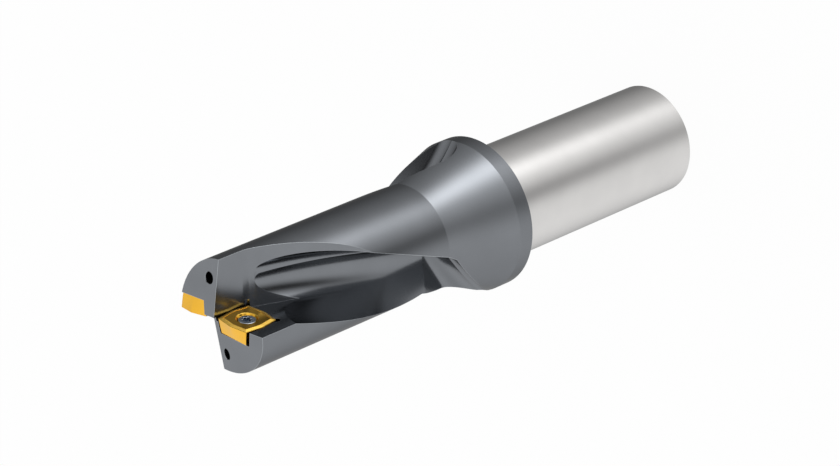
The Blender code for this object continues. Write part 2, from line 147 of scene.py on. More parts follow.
class NoseSizes(bpy.types.PropertyGroup):
    """The front faces and the straight gullets."""
    inner_face_height: length("Inner face height", "Over the nose plane at the axis", 1.57)
    inner_face_fall: angle("Inner face fall", "How it falls outwards", 3.0)
    inner_face_relief: angle("Inner face relief", "How it falls back from its cutting edge", 7.1)
    outer_face_height: length("Outer face height", "Over the nose plane at the axis", 2.15)
    outer_face_fall: angle("Outer face fall", "How it falls outwards", 4.2)
    outer_face_relief: angle("Outer face relief", "How it falls back from its cutting edge", 9.1)
    face_split: angle("Face split", "Where one front face meets the other", 8.0)
    inner_wall: length("Inner gullet wall", "From the axis", -1.13)
    inner_wall_tilt: angle("Inner wall tilt", "About the axis", 4.0)
    inner_floor: length("Inner gullet floor", "From the axis", -0.82)
    inner_floor_tilt: angle("Inner floor tilt", "About the axis", 5.3)
    outer_wall: length("Outer gullet wall", "From the axis", 1.69)
    outer_wall_tilt: angle("Outer wall tilt", "About the axis", 6.5)
    outer_floor: length("Outer gullet floor", "From the axis", -0.09)
    outer_floor_tilt: angle("Outer floor tilt", "About the axis", 9.7)
    gullet_straight: length("Gullet straight", "How far the wall runs back along the axis", 7.0)
    gullet_run_out: angle("Gullet run-out", "Angle at which the wall leaves through the side", 24.7)
    gullet_blend: length("Gullet blend", "Radius between the straight wall and its run-out", 8.0)
    gullet_fillet: length("Gullet fillet", "Radius between wall and floor", 0.02)


class FluteSizes(bpy.types.PropertyGroup):
    """The helical flutes."""
    start: length("Start", "Setback where the section lies as drawn", 9.0)
    turn_start: length("Turn start", "Setback from which the helix turns", 7.6)
    turn_per_mm: angle("Turn per millimetre", "Twist of the helix", 1.76)
    taper: number("Taper", "How fast the web grows towards the shank", 0.045)
    taper_side: angle("Taper side", "Direction in which the section moves out", 37.0)
    bottom_radius: length("Bottom radius", "Round bottom of the flute", 5.2)
    bottom_out: length("Bottom out", "Distance of the round bottom's centre from the axis", 4.5)
    back_radius: length("Back radius", "Round back of the flute", 3.45)
    back_centre: flat_place("Back centre", "Centre of the round back", (2.7, 7.4))
    back_angle: angle("Back angle", "Direction of the straight back", 38.0)
    lead_in: length("Lead-in", "How far the section is carried forward into the gullet", 4.9)
    inner_lead_in_slope: number("Inner lead-in slope", "How fast the inner flute sinks in", 0.0)
    outer_lead_in_slope: number("Outer lead-in slope", "How fast the outer flute sinks in", 1.1)
    run_out_setback: length("Run-out setback", "Where the flute starts to leave", 53.4)
    run_out_slope: number("Run-out slope", "How fast it leaves", 1.27)
    run_out_side: angle("Run-out side", "Direction in which it leaves", -38.0)
    run_out_turn: angle("Run-out turn per millimetre", "How the section turns while it leaves", 1.1)
    slice: length("Slice", "Spacing of the sections along the axis", 0.5)


class InsertSizes(bpy.types.PropertyGroup):
    """The two inserts and the seats that they are screwed into."""
    side: length("Side", "Between opposite corners' edges", 8.23)
    kink: length("Kink", "How far the middle of each edge stands out", 0.59)
    thickness: length("Thickness", "From the seat to the cutting edges", 3.42)
    seat_depth: length("Seat depth", "From the cutting edges to the floor of the pocket", 3.5)
    relief: angle("Relief", "Lean of the flanks", 9.0)
    corner: length("Corner radius", "Of the cutting corners", 0.25)
    hone: length("Hone", "Rounding of the cutting edges", 0.06)
    rim_width: length("Rim width", "Of the land around the rake face", 0.83)
    rim_rise: length("Rim rise", "Of the rake face over the cutting edges", 0.17)
    ring_diameter: length("Ring diameter", "Outside of the countersink", 4.75)
    counterbore_diameter: length("Counterbore diameter", "Round the screw head", 4.35)
    inner_radial: length("Inner radial", "From the axis to the middle of the inner insert", 3.76)
    inner_above: length("Inner above centre", "Height of the inner cutting edges", 0.0)
    inner_setback: length("Inner setback", "Of the middle of the inner insert", 2.5)
    inner_lead: angle("Inner lead", "Of the inner insert about its screw", 0.8)
    outer_tilt: angle("Outer tilt", "Of the outer insert about the axis", 8.3)
    outer_radial: length("Outer radial", "From the axis to the middle of the outer insert", 8.3)
    outer_above: length("Outer above centre", "Height of the outer cutting edges", 0.64)
    outer_setback: length("Outer setback", "Of the middle of the outer insert", 2.86)
    outer_lead: angle("Outer lead", "Of the outer insert about its screw", 3.4)
    pocket_gap: length("Pocket gap", "Between an insert and the walls of its pocket", 0.2)
    pocket_shift: length("Pocket shift", "Of the pocket away from the axis", 0.1)
    pocket_rise: length("Pocket rise", "Of the pocket's edge over the cutting edges", 0.1)
    pocket_relief: length("Pocket relief", "Radius of the relief under the corners", 0.9)


class ScrewSizes(bpy.types.PropertyGroup):
    """The insert screws."""
    diameter: length("Diameter", "Of the shank", 2.5)
    length: length("Length", "Under the head's top", 6.0)
    head_diameter: length("Head diameter", "Of the countersunk head", 3.75)
    head_edge: length("Head edge", "Height of the head's rim", 0.3)
    head_cone: length("Head cone", "Height of the head's cone", 1.05)
    head_sunk: length("Head sunk", "Under the cutting edges", 0.08)
    socket_radius: length("Socket radius", "Mean radius of the six lobes", 0.92)
    socket_lobe: length("Socket lobe", "How far the lobes swing", 0.18)
    socket_depth: length("Socket depth", "Of the six-lobe socket", 1.1)
    hole_gap: length("Hole gap", "Round the screw's shank", 0.3)


class BoreSizes(bpy.types.PropertyGroup):
    """The coolant bore and its two channels."""
    bore_diameter: length("Bore diameter", "From the shank's end", 8.0)
    bore_chamfer: length("Bore chamfer", "At the shank's end", 0.6)
    bore_end: length("Bore end", "Setback of the drilled end", 64.0)
    outer_channel: flat_place("Outer channel", "Radial and tangential width", (2.5, 2.5))
    inner_channel: flat_place("Inner channel", "Radial and tangential width", (2.6, 1.6))
    outer_outlet: flat_place("Outer outlet", "On the outer front face", (-4.18, 7.31))
    inner_outlet: flat_place("Inner outlet", "On the inner front face", (0.99, -8.15))
    outlet_chamfer: length("Outlet chamfer", "Round both outlets", 0.1)
    land_radius: length("Land radius", "Of the channels inside the lands", 8.4)
    land_angle: angle("Land angle", "Of the channels inside the lands", 137.0)
    straight: length("Straight", "Of the channels behind their outlets", 18.8)
    meet_setback: length("Meeting setback", "Where the channels reach the bore", 68.0)
    meet_radius: length("Meeting radius", "Of the channels where they reach the bore", 2.4)


class Finishes(bpy.types.PropertyGroup):
    """Colours and gloss of the metals."""
    coating: colour("Body coating", "Grey coating of body and collar", (0.195, 0.205, 0.220))
    coating_roughness: number("Coating roughness", "Of the grey coating", 0.2)
    coating_rim: number("Coating rim", "Tint of the grey coating at a low angle", 0.55)
    # Lighter colour at the body's convex edges: partly worn steel, partly a painted highlight.
    worn_edge_and_highlight: colour("Worn edge", "Steel that shows at the edges of the coating", (0.38, 0.40, 0.42))
    shank: colour("Ground steel", "Bright steel of the shank", (0.64, 0.63, 0.62))
    shank_roughness: number("Shank roughness", "Of the ground steel", 0.13)
    shank_rim: number("Shank rim", "Tint of the ground steel at a low angle", 0.88)
    gold: colour("Insert coating", "Gold coloured hard coating", (0.84, 0.46, 0.045))
    gold_roughness: number("Insert roughness", "Of the gold coating", 0.15)
    # The land's lighter gold is a painted highlight; its rougher gloss is the honed finish. The
    # same colour paints a highlight on the inserts' edges.
    land: colour("Insert land", "Honed rim of the inserts", (1.0, 0.64, 0.12))
    land_roughness: number("Land roughness", "Of the honed rim", 0.42)
    screw: colour("Screw steel", "Bluish steel of the screws", (0.42, 0.47, 0.54))
    screw_roughness: number("Screw roughness", "Of the screws", 0.22)
    edge_radius: length("Edge radius", "Rounding of the body's edges in the shading", 0.1)


class StageSettings(bpy.types.PropertyGroup):
    """The studio: camera, floor and the soft light around the drill."""
    lens: value_of("Lens", "Focal length in millimetres", 134.25, unit='CAMERA')
    sensor: value_of("Sensor width", "In millimetres", 36.0, unit='CAMERA')
    camera_place: values_of("Camera place", "Of the lens", (0.418697, 0.299255, 0.494396),
                            subtype='XYZ', unit='LENGTH')
    camera_right: direction("Camera right", "In the picture", (0.7001, 0.0248, -0.7136))
    camera_down: direction("Camera down", "In the picture", (0.3365, -0.8929, 0.2991))
    floor_half_width: length("Floor half width", "Of the floor", 4000.0)
    ambient: number("Ambient", "Even part of the light", 0.67)
    slope: direction("Slope", "How the even light grows along X, Y and Z", (0.44, 0.34, 0.19))
    shadow: number("Shadow", "How much of its shadow the floor shows", 0.05)


# Numbers to surfaces

def arc(centre, radius, start, end, steps):
    """Points at centre + radius (cos a, sin a), the angle a running evenly from start to end."""
    a = np.linspace(start, end, steps + 1)
    return np.column_stack((centre[0] + radius * np.cos(a), centre[1] + radius * np.sin(a)))


def line(start, end, steps):
    """Points that run evenly along a straight line, without its end."""
    t = np.arange(steps)[:, None] / steps
    return (1 - t) * np.asarray(start, float) + t * np.asarray(end, float)


def spaced(start, end, step):
    return np.linspace(start, end, max(1, round((end - start) / step)) + 1)


def translation(x, y, z):
    matrix = np.eye(4)
    matrix[:3, 3] = x, y, z
    return matrix


def rotation_z(turn):
    matrix = np.eye(4)
    matrix[0, :2] = math.cos(turn), -math.sin(turn)
    matrix[1, :2] = math.sin(turn), math.cos(turn)
    return matrix


def rotation_x(turn):
    matrix = np.eye(4)
    matrix[1, 1:3] = math.cos(turn), -math.sin(turn)
    matrix[2, 1:3] = math.sin(turn), math.cos(turn)
    return matrix


def at_height(outline, height):
    """An outline in x and y, laid flat at a height."""
    return np.column_stack((outline, np.full(len(outline), height)))


def linked(name, data):
    """A new object with this data, in the scene."""
    item = bpy.data.objects.new(name, data)
    bpy.context.scene.collection.objects.link(item)
    return item


def enclosed(rings):
    """Six times the volume inside: the sum of a . (b x c) over all triangles, the ends fanned."""
    beside = np.roll(rings, -1, axis=1)
    a, b, c, d = rings[:-1], beside[:-1], beside[1:], rings[1:]
    ends = np.array((-1.0, 1.0))[:, None]
    fan = np.sum(rings[[0, -1], :1] * np.cross(rings[[0, -1]], beside[[0, -1]]), axis=-1)
    return np.sum(a * np.cross(b, c)) + np.sum(a * np.cross(c, d)) + np.sum(ends * fan)


def skin(name, rings, matrix=None):
    """A closed surface over a stack of rings with equal counts, every point times the matrix.

    Point (i, j) is the j-th of the i-th ring. Four neighbours make a face, j runs round and closes,
    and one flat face closes each end.
    """
    rings = np.asarray(rings)
    if matrix is not None:
        rings = rings @ matrix[:3, :3].T + matrix[:3, 3]
    levels, around = rings.shape[:2]
    index = np.arange(levels * around).reshape(levels, around)
    beside = np.roll(index, -1, axis=1)
    sides = np.stack((index[:-1], beside[:-1], beside[1:], index[1:]), axis=-1).reshape(-1, 4)
    ends = [index[0, ::-1].tolist(), index[-1].tolist()]
    mesh = bpy.data.meshes.new(name)
    mesh.from_pydata(rings.reshape(-1, 3), [], sides.tolist() + ends)
    if enclosed(rings) < 0:
        mesh.flip_normals()
    return linked(name, mesh)


def turned(name, profile, steps, matrix=None):
    """A profile of radius and height carried round the z axis: (r cos a, r sin a, h)."""
    a = np.linspace(0.0, 2 * math.pi, steps, endpoint=False)
    radius, height = np.asarray(profile, float).T[:, :, None]
    rings = np.stack((radius * np.cos(a), radius * np.sin(a), height + 0 * a), axis=-1)
    return skin(name, rings, matrix)


def filled_profile(corners, step):
    """The corners of a profile with points between them, at most a step apart."""
    corners = np.asarray(corners, float)
    spans = np.linalg.norm(np.diff(corners, axis=0), axis=1)
    parts = [line(a, b, max(1, math.ceil(span / step)))
             for a, b, span in zip(corners, corners[1:], spans)]
    return np.vstack(parts + [corners[-1:]])


def carved(item, cutters):
    """Take the cutters away from the object one after another and keep the result as its mesh."""
    for cutter in cutters:
        boolean = item.modifiers.new(cutter.name, 'BOOLEAN')
        boolean.operation = 'DIFFERENCE'
        boolean.solver = 'MANIFOLD'
        boolean.object = cutter
    graph = bpy.context.evaluated_depsgraph_get()
    mesh = bpy.data.meshes.new_from_object(item.evaluated_get(graph))
    if len(mesh.polygons) < LEAST_FACES:
        raise RuntimeError(item.name + " is empty after its cuts")
    item.modifiers.clear()
    item.data = mesh
    for cutter in cutters:
        bpy.data.objects.remove(cutter, do_unlink=True)
    return item


def smooth(item, crease):
    """Shade smooth, with sharp edges where two faces meet at more than the crease in degrees."""
    item.data.shade_smooth()
    item.data.set_sharp_from_angle(angle=math.radians(crease))


def sided(sizes, inner, *names):
    """The inner or the outer values of these names."""
    return [getattr(sizes, ("inner_" if inner else "outer_") + name) for name in names]


# Turned body

def blank(sizes):
    """The turned body, carried over the nose plane as far as the tilted front faces need."""
    radius = sizes.shank_diameter / 2
    neck = radius - sizes.neck_depth
    collar = sizes.collar_diameter / 2
    body = sizes.body_diameter / 2
    neck_corner = 0.25 * MM
    top = sizes.nose + 3.0 * MM
    inside = 0.3
    longest_step = 1.2 * MM
    corners = [
        (inside * radius, 0.0),
        (radius - sizes.shank_chamfer, 0.0),
        (radius, sizes.shank_chamfer),
        (radius, sizes.shank_length - sizes.neck_width - sizes.neck_depth),
        (neck, sizes.shank_length - sizes.neck_width),
        (neck, sizes.shank_length - neck_corner),
        (neck + neck_corner, sizes.shank_length),
        (collar - sizes.band_chamfer, sizes.shank_length),
        (collar, sizes.shank_length + sizes.band_chamfer),
        (collar, sizes.band_top),
        (body, sizes.cone_top),
        (body, top),
        (inside * body, top),
    ]
    return turned("drill_body_dressed", filled_profile(corners, longest_step), sizes.round_steps)


def clamping_flat(sizes):
    """A box beyond the clamping flat, which looks to -X and is open at the shank's end."""
    radius = sizes.shank_diameter / 2
    face = radius - sizes.flat_height
    far = face - radius
    outline = np.array([(face, radius), (far, radius), (far, -radius), (face, -radius)])
    heights = (-SPARE, sizes.flat_length)
    return skin("clamping_flat", [at_height(outline, height) for height in heights])


def central_bore(blank_sizes, sizes):
    radius = sizes.bore_diameter / 2
    end = blank_sizes.nose - sizes.bore_end
    chamfer = sizes.bore_chamfer
    drilled_end = math.radians(31.0)
    profile = [(radius + chamfer, -SPARE), (radius + chamfer, 0.0), (radius, chamfer),
               (radius, end - radius * math.tan(drilled_end)), (POINT, end)]
    return turned("central_bore", profile, ROUND)


# Nose

def face_rule(blank_sizes, nose_sizes, inner):
    """Height of a front face as a function of x and y in its own half of the nose."""
    height, fall, relief = sided(nose_sizes, inner, "face_height", "face_fall", "face_relief")
    return lambda x, y: blank_sizes.nose + height + math.tan(fall) * x - math.tan(relief) * y


def front_face(blank_sizes, nose_sizes, inner):
    """Everything above one front face: its plane below, and a lid far above it."""
    split = REACH * math.tan(nose_sizes.face_split)
    outline = np.array([(-REACH, -split), (REACH, split), (REACH, REACH), (-REACH, REACH)])
    height = face_rule(blank_sizes, nose_sizes, inner)
    low = np.column_stack((outline, height(outline[:, 0], outline[:, 1])))
    lid = low + (0.0, 0.0, REACH)
    return skin("front_face", (low, lid), rotation_z(HALF_TURN if inner else 0.0))


def gullet(blank_sizes, sizes, inner):
    """The straight cut at the nose.

    Its outline in the plane of the floor runs back along the wall, round the blend and out through
    the side. The rings stack up from the floor: at fillet angle t the outline stands back
    R (1 - sin t) from the wall at the height R (1 - cos t), and the last ring lies far outside. The
    floor is then sheared to its tilt.
    """
    wall, wall_tilt = sided(sizes, inner, "wall", "wall_tilt")
    floor, floor_tilt = sided(sizes, inner, "floor", "floor_tilt")
    turn = 0.0 if inner else HALF_TURN
    top = 6.0 * MM
    out = sizes.gullet_run_out
    blend_radius = sizes.gullet_blend
    centre = (wall + blend_radius, sizes.gullet_straight - blend_radius * math.tan(out / 2))
    t = np.linspace(0.0, QUARTER_TURN, 9)
    backs = np.append(sizes.gullet_fillet * (1 - np.sin(t)), 0.0)
    heights = np.append(sizes.gullet_fillet * (1 - np.cos(t)), REACH)
    rings = []
    for back, height in zip(backs, heights):
        blend = arc(centre, blend_radius - back, math.pi, math.pi - out, steps=24)
        leave = blend[-1, 1] + (REACH - blend[-1, 0]) / math.tan(out)
        outline = np.vstack(([(REACH, -top)], line((wall + back, -top), blend[0], steps=12), blend,
                             line(blend[-1], (REACH, leave), steps=16)[1:], [(REACH, leave)]))
        rings.append(at_height(outline, height))
    rings = np.stack(rings)
    rings[..., 2] += math.tan(floor_tilt - wall_tilt) * rings[..., 0]
    place = rotation_z(turn + wall_tilt) @ translation(0.0, floor, blank_sizes.nose)
    return skin("gullet", rings, place @ rotation_x(-QUARTER_TURN))


# Flutes and channels

def circles_meet(centre_a, radius_a, centre_b, radius_b):
    """The crossing of two circles on the left of the line from the first centre to the second."""
    apart = np.linalg.norm(centre_b - centre_a)
    along = (centre_b - centre_a) / apart
    foot = (apart ** 2 + radius_a ** 2 - radius_b ** 2) / (2 * apart)
    left = np.array((-along[1], along[0]))
    return centre_a + along * foot + left * math.sqrt(radius_a ** 2 - foot ** 2)


def flute_section(sizes):
    """Outline of the milled void: flat side, round bottom, ridge, round back and straight back."""
    bottom = np.array((sizes.bottom_out, sizes.bottom_radius))
    back = np.array(sizes.back_centre)
    ridge = circles_meet(bottom, sizes.bottom_radius, back, sizes.back_radius)
    bottom_end = math.atan2(*(ridge - bottom)[::-1]) % (2 * math.pi)
    back_start = math.atan2(*(ridge - back)[::-1]) + 2 * math.pi
    leave = sizes.back_angle
    round_bottom = arc(bottom, sizes.bottom_radius, 3 * QUARTER_TURN, bottom_end, steps=48)
    round_back = arc(back, sizes.back_radius, back_start, leave + QUARTER_TURN, steps=28)
    away = round_back[-1] + REACH * np.array((math.cos(leave), math.sin(leave)))
    return np.vstack((line((REACH, 0.0), round_bottom[0], steps=14), round_bottom, round_back[1:],
                      line(round_back[-1], away, steps=14)[1:], [away], [(REACH + SPARE, away[1])]))


def helix_angle(sizes, setback):
    """How far the flutes have turned: evenly with the setback, until they start to run out."""
    turned_over = np.clip(setback, sizes.turn_start, sizes.run_out_setback) - sizes.start
    return -sizes.turn_per_mm / MM * turned_over


def helical_flute(blank_sizes, sizes, inner):
    """The section carried down the helix.

    At setback s it is shifted by the lead-in along +x, by the taper and by the run-out along their
    own directions, then turned about the axis by the helix angle, and more while it runs out.
    """
    last = blank_sizes.nose - blank_sizes.shank_length
    turn = 0.0 if inner else HALF_TURN
    slope = sided(sizes, inner, "lead_in_slope")[0]
    lead_in_slice = 0.6 * MM
    s = np.concatenate((spaced(sizes.start - sizes.lead_in, sizes.start, lead_in_slice),
                        spaced(sizes.start, sizes.run_out_setback, sizes.slice)[1:],
                        spaced(sizes.run_out_setback, last, sizes.slice)[1:]))
    run_out = np.maximum(0.0, s - sizes.run_out_setback)
    lead_in = np.maximum(0.0, sizes.start - s)
    taper = sizes.taper * np.maximum(0.0, s - sizes.start)
    leave, side = sizes.run_out_slope * run_out, sizes.run_out_side
    shift_x = slope * lead_in + taper * math.cos(sizes.taper_side) + leave * math.cos(side)
    shift_y = taper * math.sin(sizes.taper_side) + leave * math.sin(side)
    a = (turn + helix_angle(sizes, s) + sizes.run_out_turn / MM * run_out)[:, None]
    section = flute_section(sizes)
    x = section[None, :, 0] + shift_x[:, None]
    y = section[None, :, 1] + shift_y[:, None]
    z = np.broadcast_to(blank_sizes.nose - s[:, None], x.shape)
    turned_x, turned_y = x * np.cos(a) - y * np.sin(a), x * np.sin(a) + y * np.cos(a)
    return skin("flute", np.stack((turned_x, turned_y, z), axis=-1))


def coolant_channel(blank_sizes, nose_sizes, flute_sizes, sizes, inner):
    """An oval carried from its outlet into the land, along the helix and in to the central bore.

    Above the outlet's chamfer each point keeps its distance from the front face's plane, so that
    the chamfer has the same width all round.
    """
    (width, height), outlet = sided(sizes, inner, "channel", "outlet")
    turn, flip = (HALF_TURN, -1.0) if inner else (0.0, 1.0)
    last, meet, slice_height = flute_sizes.run_out_setback, sizes.meet_setback, 1.5 * MM
    s = np.concatenate(([0.0], spaced(sizes.straight, last, slice_height), [meet]))
    a = turn + sizes.land_angle + helix_angle(flute_sizes, np.maximum(s, sizes.straight))
    inward = np.maximum(0.0, s - last) / (meet - last)
    radius = sizes.land_radius + (sizes.meet_radius - sizes.land_radius) * inward
    along = np.minimum(1.0, s / sizes.straight)
    x = outlet[0] + (radius * np.cos(a) - outlet[0]) * along
    y = outlet[1] + (radius * np.sin(a) - outlet[1]) * along
    t = np.linspace(0.0, 2 * math.pi, ROUND_SMALL, endpoint=False)

    def ovals(rows, grow):
        across, around = (width / 2 + grow) * np.cos(t), (height / 2 + grow) * np.sin(t)
        heading = np.arctan2(y[rows], x[rows])[:, None]
        return (x[rows, None] + across * np.cos(heading) - around * np.sin(heading),
                y[rows, None] + across * np.sin(heading) + around * np.cos(heading))

    plane = face_rule(blank_sizes, nose_sizes, inner)
    chamfer = sizes.outlet_chamfer
    parts = []
    for grow, rise in ((chamfer + 2 * SPARE, 2 * SPARE), (chamfer, 0.0), (0.0, -chamfer)):
        px, py = ovals([0], grow)
        parts.append(np.stack((px, py, plane(flip * px, flip * py) + rise), axis=-1))
    px, py = ovals(slice(1, None), 0.0)
    pz = np.broadcast_to(blank_sizes.nose - s[1:, None], px.shape)
    return skin("channel", np.concatenate((*parts, np.stack((px, py, pz), axis=-1))))


# Inserts and their seats

def seat_place(blank_sizes, sizes, inner):
    """Frame of an insert: x outwards, y to the shank, z its rake normal, zero at its edges."""
    radial, above, setback, lead = sided(sizes, inner, "radial", "above", "setback", "lead")
    turn = 0.0 if inner else HALF_TURN + sizes.outer_tilt
    return (rotation_z(turn) @ translation(radial, above, blank_sizes.nose - setback)
            @ rotation_x(-QUARTER_TURN) @ rotation_z(lead))


def unit(vectors):
    return vectors / np.linalg.norm(vectors, axis=-1, keepdims=True)


def insert_corners(sizes, grow, height=0.0):
    """Corners and kinks of the outline at a height, counter-clockwise, each side moved out.

    The kinks fade evenly under the cutting edges, so that the foot is square.
    """
    half = sizes.side / 2
    kink = sizes.kink * min(1.0, max(0.0, 1.0 + height / sizes.thickness))
    a = np.repeat(np.arange(4), 2) * QUARTER_TURN
    x = np.tile((half, 0.0), 4)
    y = np.tile((half, half + kink), 4)
    points = np.column_stack((x * np.cos(a) - y * np.sin(a), x * np.sin(a) + y * np.cos(a)))
    after = unit(np.roll(points, -1, axis=0) - points)
    out_after = np.column_stack((after[:, 1], -after[:, 0]))
    out_before = np.roll(out_after, 1, axis=0)
    share = 1.0 + np.sum(out_before * out_after, axis=1)[:, None]
    return points + grow * (out_before + out_after) / share


def insert_ring(sizes, grow, radius, height, steps=6, along=7):
    """The insert's outline at a height, moved out, with rounded corners, always as many points."""
    points = insert_corners(sizes, grow, height)
    corners, kinks = points[0::2], points[1::2]
    to_before = unit(np.roll(kinks, 1, axis=0) - corners)
    to_after = unit(kinks - corners)
    half = np.arccos(np.sum(to_before * to_after, axis=1)) / 2
    centre = corners + unit(to_before + to_after) * (radius / np.sin(half))[:, None]
    first = corners + to_before * (radius / np.tan(half))[:, None] - centre
    start = np.arctan2(first[:, 1], first[:, 0])
    sweep = math.pi - 2 * half
    t = np.linspace(0.0, 1.0, steps + 1)[None, :]
    a = start[:, None] + sweep[:, None] * t
    rounded = centre[:, None, :] + radius * np.stack((np.cos(a), np.sin(a)), axis=-1)
    t = (np.arange(1, along + 1) / (along + 1))[None, :, None]
    leave = rounded[:, -1:, :] * (1 - t) + kinks[:, None, :] * t
    reach = kinks[:, None, :] * (1 - t) + np.roll(rounded[:, :1, :], -1, axis=0) * t
    return np.concatenate((rounded, leave, kinks[:, None, :], reach), axis=1).reshape(-1, 2)


# Land, rising rim, groove and rake face, as shares of the rim's width and of its rise
RIM = ((0.12, 0.0), (0.45, 0.5), (0.78, 1.0), (0.86, 0.2), (1.0, 1.0), (1.1, 1.0))


def insert_surface(sizes, name, place):
    """The insert without its hole.

    Rings of the outline stack up: the foot's chamfer, the leaning flank, the honed edge as a
    quarter round, the narrow land, the rising rim, and a groove between it and the rake face.
    Inwards the corner's radius shrinks with the outline, down to a least one.
    """
    lean = math.tan(sizes.relief)
    hone, thickness = sizes.hone, sizes.thickness
    foot = 0.15 * MM
    least_radius, shrink = 0.05 * MM, 0.6
    levels = [(-lean * thickness - foot, -thickness)]
    levels += [(-lean * depth, -depth) for depth in (thickness - foot, 2.2 * MM, 1.1 * MM)]
    levels += [(hone * (math.cos(a) - 1.0), hone * (math.sin(a) - 1.0))
               for a in np.linspace(0.0, QUARTER_TURN, 4)]
    levels += [(-hone - sizes.rim_width * part, sizes.rim_rise * rise) for part, rise in RIM]
    rings = []
    for grow, height in levels:
        radius = max(least_radius, sizes.corner + shrink * min(0.0, grow))
        rings.append(at_height(insert_ring(sizes, grow, radius, height), height))
    return skin(name, rings, place)


def insert_hole(sizes, screw_sizes, place):
    """Countersink, counterbore, seat of the head and clearance, turned round the screw."""
    head_gap, lip, bevel, countersink = 0.04 * MM, 0.09 * MM, 0.1 * MM, 0.3 * MM
    head = screw_sizes.head_diameter / 2 + head_gap
    hole = screw_sizes.diameter / 2 + screw_sizes.hole_gap
    bore = sizes.counterbore_diameter / 2
    ring = sizes.ring_diameter / 2
    rake = sizes.rim_rise
    edge = -screw_sizes.head_sunk - screw_sizes.head_edge
    profile = [(ring + SPARE, rake + 1.2 * SPARE), (ring, rake), (ring - lip, rake - lip),
               (bore, rake - countersink), (bore - bevel, edge + bevel), (head, edge),
               (hole, edge - screw_sizes.head_cone), (hole, -sizes.thickness - SPARE)]
    return turned("insert_hole", profile, ROUND, place)


def insert_pocket(sizes, place, inner):
    """The void round an insert with a gap, open to the nose, and the outer one to the side too."""
    beyond = 4.0 * MM
    limit = sizes.side * 0.4
    rings = []
    for height in (-sizes.seat_depth, sizes.pocket_rise):
        outline = insert_corners(sizes, sizes.pocket_gap + height * math.tan(sizes.relief))
        outline[:, 0] += sizes.pocket_shift
        outline[:, 1] -= np.where(outline[:, 1] < -limit, beyond, 0.0)
        if not inner:
            outline[:, 0] += np.where(outline[:, 0] > limit, beyond, 0.0)
        rings.append(at_height(outline, height))
    return skin("pocket", rings, place)


def pocket_relief(sizes, place, corner):
    """A round relief under a corner of the insert, where two walls of its pocket meet."""
    x, y = insert_corners(sizes, 0.0)[corner]
    profile = [(sizes.pocket_relief, SPARE), (sizes.pocket_relief, -sizes.seat_depth)]
    return turned("relief", profile, ROUND_SMALL, place @ translation(x, y, 0.0))


def screw_hole(screw_sizes, place):
    bottom = -screw_sizes.head_sunk - screw_sizes.length - 0.5 * SPARE
    radius = screw_sizes.diameter / 2 + screw_sizes.hole_gap
    profile = [(radius, 0.0), (radius, bottom), (POINT, bottom - radius * 0.5)]
    return turned("screw_hole", profile, ROUND_HIDDEN, place)


# Screws

def screw_surface(sizes, name, place):
    """The screw turned round its axis: domed head, rim, cone, shank and tip."""
    top = -sizes.head_sunk
    edge = top - sizes.head_edge
    tip = top - sizes.length
    head = sizes.head_diameter / 2
    shank = sizes.diameter / 2
    soft, inside, chamfer = 0.18 * MM, 0.3 * MM, 0.4 * MM
    crown = arc((head - soft, top - soft), soft, QUARTER_TURN, 0.0, steps=5)
    profile = [(inside, top), (head * 0.5, top), (head * 0.75, top), *crown, (head, edge),
               (shank, edge - sizes.head_cone), (shank, tip + chamfer), (shank - chamfer, tip)]
    return turned(name, profile, ROUND, place)


def screw_socket(sizes, place):
    """Six lobes r = R + L cos 6a, carried down from above the head, with a chamfer at the top."""
    lobes, chamfer = 6, 0.07 * MM
    a = np.linspace(0.0, 2 * math.pi, 20 * lobes, endpoint=False)
    rings = []
    for grow, height in ((chamfer, SPARE), (chamfer, 0.0), (0.0, -chamfer),
                         (0.0, -sizes.socket_depth)):
        r = sizes.socket_radius + grow + sizes.socket_lobe * np.cos(lobes * a)
        outline = np.column_stack((r * np.cos(a), r * np.sin(a)))
        rings.append(at_height(outline, height - sizes.head_sunk))
    return skin("socket", rings, place)


# Finishes

class Nodes:
    """Short ways to add and join the nodes of one tree."""

    def __init__(self, tree):
        self.tree = tree

    def fill(self, node, inputs):
        """Join sockets to these inputs of a node, or give them fixed values."""
        for key, value in inputs.items():
            if isinstance(value, bpy.types.NodeSocket):
                self.tree.links.new(value, node.inputs[key])
            else:
                node.inputs[key].default_value = value

    def add(self, kind, inputs=None, **settings):
        node = self.tree.nodes.new(kind)
        for name, value in settings.items():
            setattr(node, name, value)
        self.fill(node, inputs or {})
        return node

    def math(self, operation, *values):
        inputs = dict(enumerate(values))
        return self.add('ShaderNodeMath', inputs, operation=operation).outputs[0]

    def stretched(self, scale=(1.0, 1.0, 1.0)):
        """Object coordinates, stretched per axis."""
        place = self.add('ShaderNodeTexCoord').outputs["Object"]
        return self.add('ShaderNodeMapping', {"Vector": place, "Scale": scale}).outputs["Vector"]

    def noise(self, vector, scale, detail=3.0):
        inputs = {"Vector": vector, "Scale": scale, "Detail": detail}
        return self.add('ShaderNodeTexNoise', inputs).outputs["Fac"]

    def spread(self, value, low, high, first=0.25, last=0.75):
        """A value carried from its range, by default that of noise, to low to high."""
        inputs = {"Value": value, "From Min": first, "From Max": last,
                  "To Min": low, "To Max": high}
        return self.add('ShaderNodeMapRange', inputs).outputs["Result"]

    def blend(self, kind, factor, a, b):
        start, end, result = {'VECTOR': (4, 5, 1), 'RGBA': (6, 7, 2)}[kind]
        inputs = {"Factor": factor, start: a, end: b}
        return self.add('ShaderNodeMix', inputs, data_type=kind).outputs[result]


# Slow noise per metre, octaves and height of the grain, what it makes of the roughness, and the
# openness at which an edge's painted highlight and rounded normal start and are full
SLOW_SHIFT = 140.0
FINE_DETAIL = 4.0
BUMP_HEIGHT = 0.01 * MM
GLOSS_RANGE = (0.85, 1.15)
EDGE_SAMPLES = 6
EDGE_RANGE = (0.97, 0.7)


def shaded(name):
    """A new material with its shader and its nodes."""
    material = bpy.data.materials.new(name)
    material.use_nodes = True
    tree = material.node_tree
    return material, tree.nodes["Principled BSDF"], Nodes(tree)


